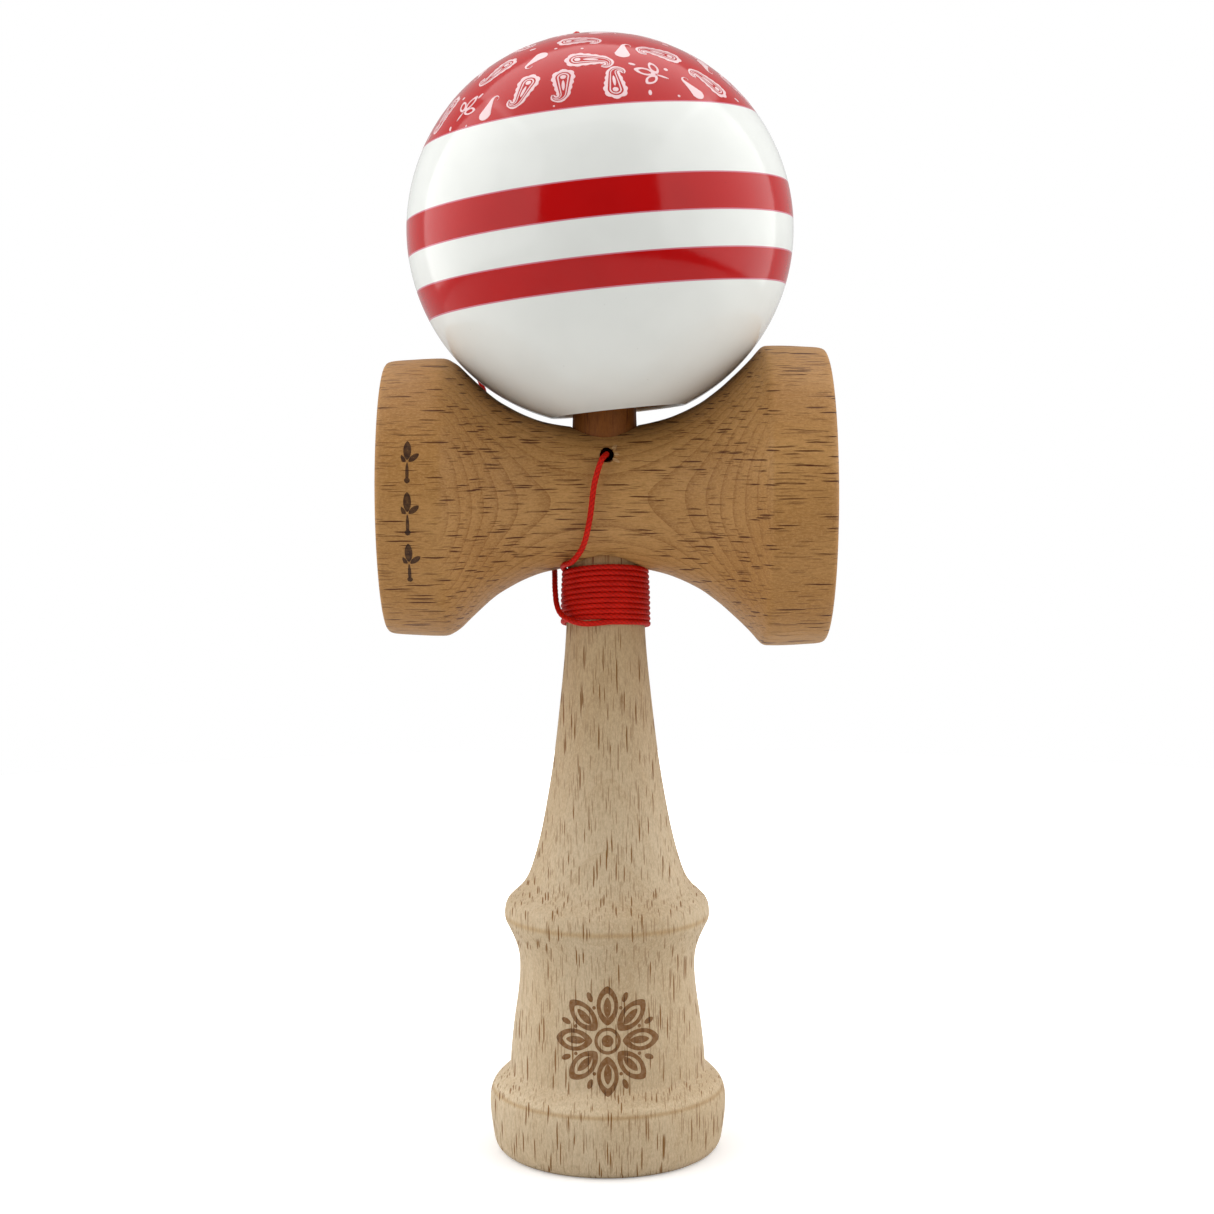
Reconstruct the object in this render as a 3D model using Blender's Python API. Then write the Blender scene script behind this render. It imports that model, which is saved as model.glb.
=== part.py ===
"""Kendama: wooden handle (ken), cross piece (sarado), holed ball (tama) and their string.

Frame: metres, +Z up along the handle, origin at the centre of the base rim.
The cross piece lies along X with its big cup at +X.  The string leaves the front, -Y.
The ball rests on the spike, tipped a little, touching the inner edges of both cups.
"""
import math

import bmesh
import bpy
from mathutils import Vector

MM = 0.001

# ---- driving dimensions, millimetres -------------------------------------------------
BALL_R = 29.5
BALL_X, BALL_Z = -0.55, 142.6
BALL_LEAN_LEFT = 5.6        # degrees, top towards -X
BALL_LEAN_BACK = 1.5        # degrees, top towards +Y
BALL_HOLE_R = 9.9           # hole in the ball, just inside its lip
BALL_HOLE_TOP = 15.0        # end of the hole, above the ball's centre
STRING_HOLE_R = 1.75        # small hole through the top of the ball

KEN_TIP_Z = 149.0
BASE_R = 18.5               # widest part of the base
FLARE_R, FLARE_Z = 16.0, 37.3
NECK_R, NECK_Z = 13.7, 28.5
SEAT_R, SEAT_Z = 5.8, 92.0  # handle where it enters the cross piece
SPIKE_R, SPIKE_Z = 4.95, 113.0
TIP_R, TIP_HEIGHT = 2.8, 2.4
BASE_CUP_R, BASE_CUP_DEPTH = 14.8, 5.5

CROSS_Z = 102.05            # axis of the cross piece
SMALL_END_X, BIG_END_X = -33.5, 33.8
SMALL_R, BIG_R = 21.35, 23.05
WAIST_R = 10.6
SMALL_CUP_R, SMALL_CUP_DEPTH = 17.8, 6.0
BIG_CUP_R, BIG_CUP_DEPTH = 19.6, 7.4

STRING_R = 0.5
STRING_HOLE_Z = 108.6       # drilled front to back through the cross piece and handle
STRING_HOLE_X = 0.3
WRAP_BOTTOM, WRAP_TOP, WRAP_R, WRAP_TURNS = 82.0, 90.8, 6.85, 9
BEAD_R, BEAD_LENGTH = 3.0, 5.0
BEAD_Z = 11.8               # bead's centre above the ball's centre
GAP = 0.3

SEGMENTS = 32


# ---- helpers ---------------------------------------------------------------------------
def clear_scene():
    for obj in list(bpy.data.objects):
        bpy.data.objects.remove(obj, do_unlink=True)


def material(name, rgb, roughness, metallic=0.0):
    mat = bpy.data.materials.new(name)
    mat.use_nodes = True
    shader = mat.node_tree.nodes["Principled BSDF"]
    shader.inputs["Base Color"].default_value = (*rgb, 1.0)
    shader.inputs["Roughness"].default_value = roughness
    shader.inputs["Metallic"].default_value = metallic
    mat.diffuse_color = (*rgb, 1.0)
    return mat


def turned(name, profile, mat, axis="Z", segments=SEGMENTS, loop=False, angle=35):
    """A turned solid.  The profile is (radius, height) in mm.

    An open profile starts and ends on the axis; a looped one goes right round a ring.
    """
    bm = bmesh.new()
    rings = []
    for radius, height in profile:
        if radius < 1e-6:
            rings.append([bm.verts.new((0, 0, height * MM))])
            continue
        ring = []
        for k in range(segments):
            a = 2 * math.pi * k / segments
            ring.append(bm.verts.new((radius * math.cos(a) * MM, radius * math.sin(a) * MM, height * MM)))
        rings.append(ring)
    pairs = list(zip(rings, rings[1:]))
    if loop:
        pairs.append((rings[-1], rings[0]))
    for low, high in pairs:
        for k in range(segments):
            n = (k + 1) % segments
            if len(low) == 1:
                bm.faces.new((low[0], high[n], high[k]))
            elif len(high) == 1:
                bm.faces.new((low[k], low[n], high[0]))
            else:
                bm.faces.new((low[k], low[n], high[n], high[k]))
    bmesh.ops.recalc_face_normals(bm, faces=bm.faces)
    if bm.calc_volume(signed=True) < 0:
        bmesh.ops.reverse_faces(bm, faces=bm.faces)
    if axis == "X":
        bmesh.ops.rotate(bm, verts=bm.verts, cent=(0, 0, 0),
                         matrix=Vector((0, 0, 1)).rotation_difference(Vector((1, 0, 0))).to_matrix())
    mesh = bpy.data.meshes.new(name)
    bm.to_mesh(mesh)
    bm.free()
    mesh.shade_smooth()
    mesh.set_sharp_from_angle(angle=math.radians(angle))
    obj = bpy.data.objects.new(name, mesh)
    bpy.context.scene.collection.objects.link(obj)
    if mat:
        mesh.materials.append(mat)
    return obj


def drill(name, r_start, r_end, start, end, segments=24):
    """A cutter: a round bar, tapered if the radii differ, from start to end (mm)."""
    start, end = Vector(start), Vector(end)
    length = (end - start).length
    obj = turned(name, [(0, 0), (r_start, 0), (r_end, length), (0, length)], None, segments=segments)
    obj.rotation_mode = "QUATERNION"
    obj.rotation_quaternion = Vector((0, 0, 1)).rotation_difference((end - start).normalized())
    obj.location = start * MM
    obj.hide_render = True
    obj.display_type = "WIRE"
    return obj


def cut(obj, cutter):
    mod = obj.modifiers.new(cutter.name, "BOOLEAN")
    mod.operation = "DIFFERENCE"
    mod.solver = "EXACT"
    mod.object = cutter


def smooth_path(points, per_span):
    """Points along a Catmull-Rom curve through the given points."""
    pts = [Vector(p) for p in points]
    pts = [2 * pts[0] - pts[1]] + pts + [2 * pts[-1] - pts[-2]]
    out = []
    for i in range(1, len(pts) - 2):
        p0, p1, p2, p3 = pts[i - 1:i + 3]
        for k in range(per_span):
            t = k / per_span
            out.append(0.5 * (2 * p1 + (p2 - p0) * t + (2 * p0 - 5 * p1 + 4 * p2 - p3) * t * t
                              + (3 * p1 - p0 - 3 * p2 + p3) * t ** 3))
    out.append(pts[-2])
    return out


def cord(name, points, radius, mat):
    curve = bpy.data.curves.new(name, "CURVE")
    curve.dimensions = "3D"
    curve.bevel_depth = radius * MM
    curve.bevel_resolution = 2
    curve.use_fill_caps = True
    spline = curve.splines.new("POLY")
    spline.points.add(len(points) - 1)
    for point, place in zip(spline.points, points):
        point.co = (*(place * MM), 1.0)
    curve.materials.append(mat)
    obj = bpy.data.objects.new(name, curve)
    bpy.context.scene.collection.objects.link(obj)
    return obj


def dished(rim_r, depth, steps, flip=1):
    """Profile of a shallow spherical cup, centre to rim: (radius, how far it is sunk)."""
    sphere = (rim_r ** 2 + depth ** 2) / (2 * depth)
    out = []
    for k in range(steps + 1):
        r = rim_r * k / steps
        out.append((r, flip * (math.sqrt(sphere ** 2 - r ** 2) - (sphere - depth))))
    return out


# ---- build -----------------------------------------------------------------------------
clear_scene()

beech = material("beech_handle", (0.66, 0.46, 0.29), 0.55)
beech_dark = material("beech_cross_piece", (0.53, 0.31, 0.16), 0.50)
lacquer = material("lacquer_ball", (0.86, 0.85, 0.83), 0.12)
red_string = material("braided_string", (0.72, 0.05, 0.04), 0.65)
bead_wood = material("bead_wood", (0.60, 0.42, 0.26), 0.45)

# Handle: base cup, base, neck, flare, long taper, straight seat in the cross piece, spike.
ken_profile = dished(BASE_CUP_R, BASE_CUP_DEPTH, 6)
ken_profile += [
    (17.0, 0.0), (17.55, 0.35), (17.9, 0.95), (18.25, 3.5), (BASE_R, 6.8), (18.35, 9.0), (17.75, 10.7),
    (16.4, 12.2), (15.4, 13.0), (15.2, 15.0), (14.65, 20.0), (13.95, 25.0), (NECK_R, NECK_Z),
    (13.9, 31.0), (14.5, 32.9), (15.35, 34.8), (15.85, 36.1), (FLARE_R, FLARE_Z), (15.85, 38.6),
    (14.95, 39.9), (13.5, 41.2), (12.5, 42.6), (11.85, 44.1), (11.15, 46.3), (10.2, 50.0), (9.05, 56.0),
    (8.1, 62.0), (7.15, 70.0), (6.35, 78.0), (6.0, 84.0), (SEAT_R, SEAT_Z), (SPIKE_R, SPIKE_Z),
]
spike_length = KEN_TIP_Z - SPIKE_Z
for k in range(1, 5):
    ken_profile.append((SPIKE_R - 2.15 * (k / 5) ** 1.2, SPIKE_Z + spike_length * k / 5))
for k in range(5):
    a = math.radians(90 * k / 5)
    ken_profile.append((TIP_R * math.cos(a), KEN_TIP_Z - TIP_HEIGHT + TIP_HEIGHT * math.sin(a)))
ken_profile.append((0.0, KEN_TIP_Z))
ken = turned("ken_handle", ken_profile, beech)

string_bore = drill("cutter_string_bore_ken", 1.3, 1.3, (STRING_HOLE_X, -12, STRING_HOLE_Z),
                    (STRING_HOLE_X, 6.0, STRING_HOLE_Z), 16)
knot_pocket = drill("cutter_knot_pocket", 2.2, 2.2, (STRING_HOLE_X, 1.8, STRING_HOLE_Z),
                    (STRING_HOLE_X, 9.0, STRING_HOLE_Z), 20)
cut(ken, string_bore)
cut(ken, knot_pocket)

# Cross piece, turned about X: small cup at -X, waist, big cup at +X.
left_saddle = [
    (SMALL_R, -24.35), (21.0, -23.7), (20.1, -22.25), (18.6, -20.75),
    (17.15, -19.2), (15.85, -17.75), (14.8, -16.3), (13.85, -14.7), (13.0, -13.1), (12.3, -11.5),
    (11.7, -9.8), (11.2, -7.6), (10.8, -4.8), (WAIST_R, -1.2),
]
right_saddle = [
    (WAIST_R, 1.2), (10.95, 4.8), (11.5, 7.6), (12.1, 9.8), (12.8, 11.6), (13.6, 13.3), (14.55, 15.0),
    (15.55, 16.4), (16.8, 18.0), (18.15, 19.5), (19.65, 21.1), (21.3, 22.7),
    (22.6, 23.75), (BIG_R - 0.05, 24.35), (BIG_R, 24.9),
]
cross_profile = [(r, SMALL_END_X + h) for r, h in dished(SMALL_CUP_R, SMALL_CUP_DEPTH, 6)]
cross_profile += [(20.1, SMALL_END_X), (20.65, SMALL_END_X + 0.3), (20.9, SMALL_END_X + 0.9),
                  (21.2, -29.0), (SMALL_R, -25.6)]
cross_profile += left_saddle + right_saddle
cross_profile += [(BIG_R, 27.5), (22.9, 30.5), (22.7, BIG_END_X - 0.9), (22.45, BIG_END_X - 0.3),
                  (21.9, BIG_END_X)]
cross_profile += [(r, BIG_END_X - h) for r, h in reversed(dished(BIG_CUP_R, BIG_CUP_DEPTH, 6))]
cross = turned("sarado_cross_piece", cross_profile, beech_dark, axis="X", segments=36)
cross.location = (0, 0, CROSS_Z * MM)

taper = (SEAT_R - SPIKE_R) / (SPIKE_Z - SEAT_Z)
handle_bore = drill("cutter_handle_bore", SEAT_R + GAP + 8 * taper, SEAT_R + GAP - 40 * taper,
                    (0, 0, SEAT_Z - 8), (0, 0, SEAT_Z + 40), 40)
cross_string_bore = drill("cutter_string_bore_cross", 1.45, 1.45, (STRING_HOLE_X, -14, STRING_HOLE_Z),
                          (STRING_HOLE_X, -3, STRING_HOLE_Z), 16)
cut(cross, handle_bore)
cut(cross, cross_string_bore)

# Ball, turned about its own hole axis, then tipped.  The profile runs round the shell:
# down the outside from the string hole, round the lip, up the hole, out at the top.
top_lat = math.degrees(math.acos((STRING_HOLE_R + 0.8) / BALL_R))
LIP_LAT = -68.8
ball_profile = []
steps = 22
for k in range(steps + 1):
    lat = math.radians(top_lat + (LIP_LAT - top_lat) * k / steps)
    ball_profile.append((BALL_R * math.cos(lat), BALL_R * math.sin(lat)))
ball_profile += [(10.4, -27.6), (10.1, -27.45), (BALL_HOLE_R, -26.9), (9.85, -20.0),
                 (9.8, -10.0), (9.6, 9.0), (8.7, 12.4), (6.6, 14.4), (3.4, BALL_HOLE_TOP),
                 (STRING_HOLE_R, BALL_HOLE_TOP), (STRING_HOLE_R, 28.3)]
ball = turned("tama_ball", ball_profile, lacquer, segments=36, loop=True, angle=30)

# The slide carries an empty at the ball's centre; the ball spins about the empty's tipped Z.
ball_frame = bpy.data.objects.new("ball_centre", None)
bpy.context.scene.collection.objects.link(ball_frame)
ball_frame.location = (BALL_X * MM, 0, BALL_Z * MM)
ball_frame.rotation_euler = (math.radians(-BALL_LEAN_BACK), math.radians(-BALL_LEAN_LEFT), 0)
ball.parent = ball_frame

# Bead under the string hole, inside the ball, and the knot that holds it.
half = BEAD_LENGTH / 2
bead_profile = [(0.95, -half), (2.0, -half), (2.65, -1.7), (BEAD_R, 0.0), (2.65, 1.7), (2.0, half),
                (0.95, half)]
bead = turned("string_bead", bead_profile, bead_wood, segments=20, loop=True)
bead.parent = ball_frame
bead.location = (0, 0, BEAD_Z * MM)


def knot_profile(r):
    out = [(0.0, -r)]
    for k in range(1, 8):
        a = math.radians(-90 + 180 * k / 8)
        out.append((r * math.cos(a) * (1.0 if k % 2 else 0.9), r * math.sin(a)))
    out.append((0.0, r))
    return out


ball_knot = turned("string_knot_in_ball", knot_profile(1.25), red_string, segments=14)
ball_knot.parent = ball_frame
ball_knot.location = (0, 0, (BEAD_Z - half - GAP - 1.25) * MM)

handle_knot = turned("string_knot_in_handle", knot_profile(1.4), red_string, segments=14)
handle_knot.location = (STRING_HOLE_X * MM, 3.45 * MM, STRING_HOLE_Z * MM)

# String turns laid side by side below the cross piece, as one ribbed sleeve round the handle.
pitch = (WRAP_TOP - WRAP_BOTTOM) / WRAP_TURNS
wrap_profile = []
for k in range(WRAP_TURNS):
    low = WRAP_BOTTOM + pitch * k
    for share, inset in ((0.12, 0.24), (0.5, 0.0), (0.88, 0.24)):
        wrap_profile.append((WRAP_R - inset, low + pitch * share))
wrap_profile += [(5.85 + GAP, WRAP_TOP), (6.12 + GAP, WRAP_BOTTOM)]
wrap = turned("string_wrap", wrap_profile, red_string, segments=28, loop=True, angle=60)

# String from the knot out through the front hole and down to the top of the wrap.
front_points = [
    (STRING_HOLE_X, 1.75, STRING_HOLE_Z), (STRING_HOLE_X, -4.0, STRING_HOLE_Z),
    (0.2, -8.2, 108.6), (-0.45, -10.2, 107.9), (-1.5, -11.6, 104.6), (-2.3, -11.5, 99.0),
    (-3.3, -10.0, 95.0), (-4.9, -7.6, 92.4), (-6.5, -4.4, 91.5),
]
string_front = cord("string_front", smooth_path(front_points, 4), STRING_R, red_string)

# String from the wrap up behind the cross piece, round the back of the ball and in at its top.
tip = ball_frame.rotation_euler.to_matrix()
centre = Vector((BALL_X, 0, BALL_Z))
riser_points = [Vector((-7.6, -2.0, 86.0)), Vector((-7.8, -0.4, 88.0)), Vector((-7.9, 2.6, 90.0)),
                Vector((-8.1, 5.7, 91.2)), Vector((-8.8, 9.4, 94.0)), Vector((-10.8, 12.8, 98.8)),
                Vector((-14.0, 14.8, 105.5)), Vector((-17.6, 14.7, 113.5))]
clear = BALL_R + STRING_R + GAP + 0.15
for k in range(9):
    share = k / 8
    lat = math.radians(-30 + 112 * share)
    az = math.radians(147 - 39 * share)
    out = clear + max(0.0, 0.6 - 2.4 * share)
    riser_points.append(centre + tip @ Vector((out * math.cos(lat) * math.cos(az),
                                               out * math.cos(lat) * math.sin(az),
                                               out * math.sin(lat))))
for place in ((-0.75, 2.3, 30.55), (-0.3, 0.9, 30.35), (0, 0.15, 29.2), (0, 0, 27.6), (0, 0, 20.0),
              (0, 0, BEAD_Z - half)):
    riser_points.append(centre + tip @ Vector(place))
string_riser = cord("string_riser", smooth_path(riser_points, 2), STRING_R, red_string)
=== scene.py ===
"""Looks of the kendama: turned beech, a lacquered and printed ball, a braided string.

Everything is in millimetres in this script's tables and in metres in the scene (MM converts).
The CAD parts give places and sizes; the pieces here are the same shapes made fine.
"""
import math

import bmesh
import bpy
import numpy as np
from mathutils import Matrix, Vector
from mathutils.noise import noise


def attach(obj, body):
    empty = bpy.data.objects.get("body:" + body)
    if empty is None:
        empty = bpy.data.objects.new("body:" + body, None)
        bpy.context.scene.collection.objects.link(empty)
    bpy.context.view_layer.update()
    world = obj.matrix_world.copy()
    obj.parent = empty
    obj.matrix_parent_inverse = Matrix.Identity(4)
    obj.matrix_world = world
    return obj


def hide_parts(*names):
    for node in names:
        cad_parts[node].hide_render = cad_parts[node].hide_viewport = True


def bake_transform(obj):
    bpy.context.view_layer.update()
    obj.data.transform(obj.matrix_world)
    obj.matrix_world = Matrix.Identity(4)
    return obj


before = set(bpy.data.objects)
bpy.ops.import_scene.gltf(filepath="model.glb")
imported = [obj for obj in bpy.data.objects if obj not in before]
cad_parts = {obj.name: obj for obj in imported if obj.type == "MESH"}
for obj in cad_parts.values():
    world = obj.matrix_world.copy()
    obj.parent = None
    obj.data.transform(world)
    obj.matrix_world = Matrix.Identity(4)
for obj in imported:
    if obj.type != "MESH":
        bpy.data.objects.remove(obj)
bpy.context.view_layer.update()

MM = 0.001
SHARP_ANGLE = 32        # degrees: edges steeper than this stay crisp on turned wood
BODY = "handle_and_cross_piece"
STRING_BODY = "string_end"
BALL_BODY = "ball"

# ---- sizes, millimetres --------------------------------------------------------------------
BALL_R = 29.5
BALL_CENTRE = Vector((-0.55, 0.0, 142.6))
BALL_LEAN_LEFT, BALL_LEAN_BACK = math.radians(5.6), math.radians(1.5)
BALL_TIP = Matrix.Rotation(-BALL_LEAN_LEFT, 3, "Y") @ Matrix.Rotation(-BALL_LEAN_BACK, 3, "X")
CROSS_Z = 102.05
WAIST_R = 10.6
SEAT_R, SEAT_Z = 5.8, 92.0          # the handle where it enters the cross piece
SPIKE_R, SPIKE_Z = 4.95, 113.0      # and where the spike starts
STRING_HOLE_X, STRING_HOLE_Z = 0.3, 108.6
HANDLE_HOLE_R, KNOT_POCKET_R = 1.3, 2.2
STRING_R = 0.46
WRAP_TURNS = 11
BEAD_Z, BALL_KNOT_Z = 11.8, 7.75    # on the ball's own axis, from its centre

# ---- camera --------------------------------------------------------------------------------
EYE = Vector((0.23, -330.0, 111.7))
PITCH_DOWN, ROLL = math.radians(4.63), math.radians(-0.28)
LENS = 63.3


def make_camera():
    data = bpy.data.cameras.new("camera")
    data.sensor_width = 36.0
    data.lens = LENS
    data.clip_start = 0.01
    camera = bpy.data.objects.new("camera", data)
    bpy.context.scene.collection.objects.link(camera)
    turn = Matrix.Rotation(math.pi / 2 - PITCH_DOWN, 4, "X") @ Matrix.Rotation(ROLL, 4, "Z")
    camera.matrix_world = Matrix.Translation(EYE * MM) @ turn
    bpy.context.scene.camera = camera


make_camera()


# ---- curves and meshes ---------------------------------------------------------------------
def curve_through(points, step):
    """A smooth line through the points, with a point at least every `step` mm."""
    p = np.array(points, float)
    gaps = np.sqrt(np.linalg.norm(np.diff(p, axis=0), axis=1))
    slopes = np.diff(p, axis=0) / gaps[:, None]
    tangents = np.empty_like(p)
    weights = gaps[:-1] + gaps[1:]
    tangents[1:-1] = (slopes[:-1] * gaps[1:, None] + slopes[1:] * gaps[:-1, None]) / weights[:, None]
    tangents[0] = slopes[0] * 1.5 - tangents[1] * 0.5
    tangents[-1] = slopes[-1] * 1.5 - tangents[-2] * 0.5
    out = []
    for i, gap in enumerate(gaps):
        n = max(1, math.ceil(np.linalg.norm(p[i + 1] - p[i]) / step))
        for k in range(n):
            t = k / n
            t2, t3 = t * t, t * t * t
            out.append((2 * t3 - 3 * t2 + 1) * p[i] + (t3 - 2 * t2 + t) * gap * tangents[i]
                       + (3 * t2 - 2 * t3) * p[i + 1] + (t3 - t2) * gap * tangents[i + 1])
    out.append(p[-1])
    return out


def joined(*runs):
    """Runs of points as one line, each run starting where the last one ended."""
    line = [tuple(q) for q in runs[0]]
    for run in runs[1:]:
        line += [tuple(q) for q in run[1:]]
    return line


def smooth(mesh, sharp):
    """Smooth shading, with edges steeper than that many degrees left sharp."""
    mesh.shade_smooth()
    mesh.set_sharp_from_angle(angle=math.radians(sharp))


def mesh_from(name, points, faces):
    """A new object of those points, in millimetres, and faces."""
    mesh = bpy.data.meshes.new(name)
    mesh.from_pydata([tuple(c * MM for c in p) for p in points], [], faces)
    mesh.update()
    obj = bpy.data.objects.new(name, mesh)
    bpy.context.scene.collection.objects.link(obj)
    return obj


def turned(name, line, axis="Z", segments=160, ring=False, sharp=SHARP_ANGLE, centre=(0, 0, 0)):
    """A turned solid about Z or X.  line is (radius, height), and it closes on itself in a ring."""
    points, rows = [], []
    cx, cy, cz = centre
    for radius, height in line:
        count = 1 if radius < 1e-6 else segments
        rows.append((len(points), count))
        for k in range(count):
            a = 2 * math.pi * k / segments
            u, v = radius * math.cos(a), radius * math.sin(a)
            p = (u, v, height) if axis == "Z" else (height, u, v)
            points.append((p[0] + cx, p[1] + cy, p[2] + cz))
    pairs = list(zip(rows, rows[1:])) + ([(rows[-1], rows[0])] if ring else [])
    faces = []
    for (low, n_low), (high, n_high) in pairs:
        for k in range(segments):
            n = (k + 1) % segments
            if n_low == 1:
                faces.append((low, high + n, high + k))
            elif n_high == 1:
                faces.append((low + k, low + n, high))
            else:
                faces.append((low + k, low + n, high + n, high + k))
    obj = mesh_from(name, points, faces)
    bm = bmesh.new()
    bm.from_mesh(obj.data)
    bmesh.ops.recalc_face_normals(bm, faces=bm.faces)
    if bm.calc_volume(signed=True) < 0:
        bmesh.ops.reverse_faces(bm, faces=bm.faces)
    bm.to_mesh(obj.data)
    bm.free()
    smooth(obj.data, sharp)
    return obj


def dish(rim_r, depth):
    """A shallow spherical hollow, centre to rim: (radius, depth below the rim)."""
    step = 0.8
    sphere = (rim_r ** 2 + depth ** 2) / (2 * depth)
    count = math.ceil(rim_r / step)
    radii = [rim_r * k / count for k in range(count + 1)]
    return [(r, math.sqrt(sphere ** 2 - r ** 2) - (sphere - depth)) for r in radii]


def cut_away(obj, cutters):
    """Takes the cutters out of the piece, and leaves the result as its mesh."""
    for cutter in cutters:
        mod = obj.modifiers.new("cut", "BOOLEAN")
        mod.operation = "DIFFERENCE"
        mod.solver = "EXACT"
        mod.object = cutter
    graph = bpy.context.evaluated_depsgraph_get()
    mesh = bpy.data.meshes.new_from_object(obj.evaluated_get(graph))
    obj.modifiers.clear()
    obj.data = mesh
    smooth(mesh, SHARP_ANGLE)
    for cutter in cutters:
        bpy.data.objects.remove(cutter, do_unlink=True)


def bar(start, end, radii, segments=48, ragged=0.0):
    """A round cutter from start to end; radii are spread evenly along it, ragged roughens its end."""
    start, end = Vector(start), Vector(end)
    turn = Vector((0, 0, 1)).rotation_difference((end - start).normalized())
    points, faces = [], []
    last = len(radii) - 1
    for i, radius in enumerate(radii):
        for k in range(segments):
            a = 2 * math.pi * k / segments
            spot = Vector((math.cos(a) * 2.1, math.sin(a) * 2.1, 7.3 + i))
            r = radius * (1 + ragged * (i / last) * noise(spot))
            here = Vector((r * math.cos(a), r * math.sin(a), (end - start).length * i / last))
            points.append(start + turn @ here)
    for i in range(last):
        for k in range(segments):
            n = (k + 1) % segments
            low, high = i * segments, (i + 1) * segments
            faces.append((low + k, low + n, high + n, high + k))
    faces.append(tuple(reversed(range(segments))))
    faces.append(tuple(last * segments + k for k in range(segments)))
    return mesh_from("cutter", points, faces)


# ---- materials -----------------------------------------------------------------------------
class Look:
    """A node material with one Principled shader, built in short calls."""

    def __init__(self, name, roughness=0.5, **shader_values):
        self.material = bpy.data.materials.new(name)
        self.material.use_nodes = True
        self.tree = self.material.node_tree
        self.shader = self.tree.nodes["Principled BSDF"]
        self.shader.inputs["Roughness"].default_value = roughness
        for key, value in shader_values.items():
            self.shader.inputs[key.replace("_", " ")].default_value = value
        self.place = self.tree.nodes.new("ShaderNodeTexCoord").outputs["Object"]

    def put(self, socket, value):
        if isinstance(value, bpy.types.NodeSocket):
            self.tree.links.new(value, socket)
        elif isinstance(value, tuple) and len(value) == 3 and socket.type == "RGBA":
            socket.default_value = (*value, 1.0)
        else:
            socket.default_value = value

    def node(self, kind, settings=None, **inputs):
        node = self.tree.nodes.new(kind)
        for key, value in (settings or {}).items():
            setattr(node, key, value)
        for key, value in inputs.items():
            self.put(node.inputs[key.replace("_", " ")], value)
        return node

    def math(self, operation, a, b=0.0):
        node = self.node("ShaderNodeMath", {"operation": operation})
        self.put(node.inputs[0], a)
        self.put(node.inputs[1], b)
        return node.outputs[0]

    def mix(self, share, a, b, blend="MIX"):
        node = self.node("ShaderNodeMix", {"data_type": "RGBA", "blend_type": blend})
        self.put(node.inputs[0], share)
        self.put(node.inputs[6], a)
        self.put(node.inputs[7], b)
        return node.outputs[2]

    def ramp(self, value, low, high, to_low=0.0, to_high=1.0):
        node = self.node("ShaderNodeMapRange", {"interpolation_type": "SMOOTHSTEP"})
        for index, number in enumerate((value, low, high, to_low, to_high)):
            self.put(node.inputs[index], number)
        return node.outputs[0]

    def stretched(self, cell_mm, at=None):
        """Coordinates in which a cell of that size in mm is one unit."""
        scale = tuple(1.0 / (c * MM) for c in cell_mm)
        return self.node("ShaderNodeMapping", Vector=at or self.place, Scale=scale).outputs[0]

    def noise(self, cell_mm, detail, roughness=0.5, output="Fac"):
        node = self.node("ShaderNodeTexNoise", Vector=self.stretched(cell_mm), Scale=1.0,
                         Detail=detail, Roughness=roughness)
        return node.outputs[output]

    def cells(self, cell_mm, at=None):
        """How far each point is from its cell's middle."""
        node = self.node("ShaderNodeTexVoronoi", Vector=self.stretched(cell_mm, at), Scale=1.0)
        return node.outputs["Distance"]

    def bump(self, height, distance_mm, strength=1.0):
        node = self.node("ShaderNodeBump", Height=height, Distance=distance_mm * MM, Strength=strength)
        self.tree.links.new(node.outputs[0], self.shader.inputs["Normal"])

    def colour(self, value):
        self.put(self.shader.inputs["Base Color"], value)

    def rough(self, value):
        self.put(self.shader.inputs["Roughness"], value)


def along(grain, length, thin, deep):
    """A cell's size with its length along the grain: Z for the handle, X for the cross piece."""
    return (thin, deep, length) if grain == "Z" else (length, deep, thin)


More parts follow.
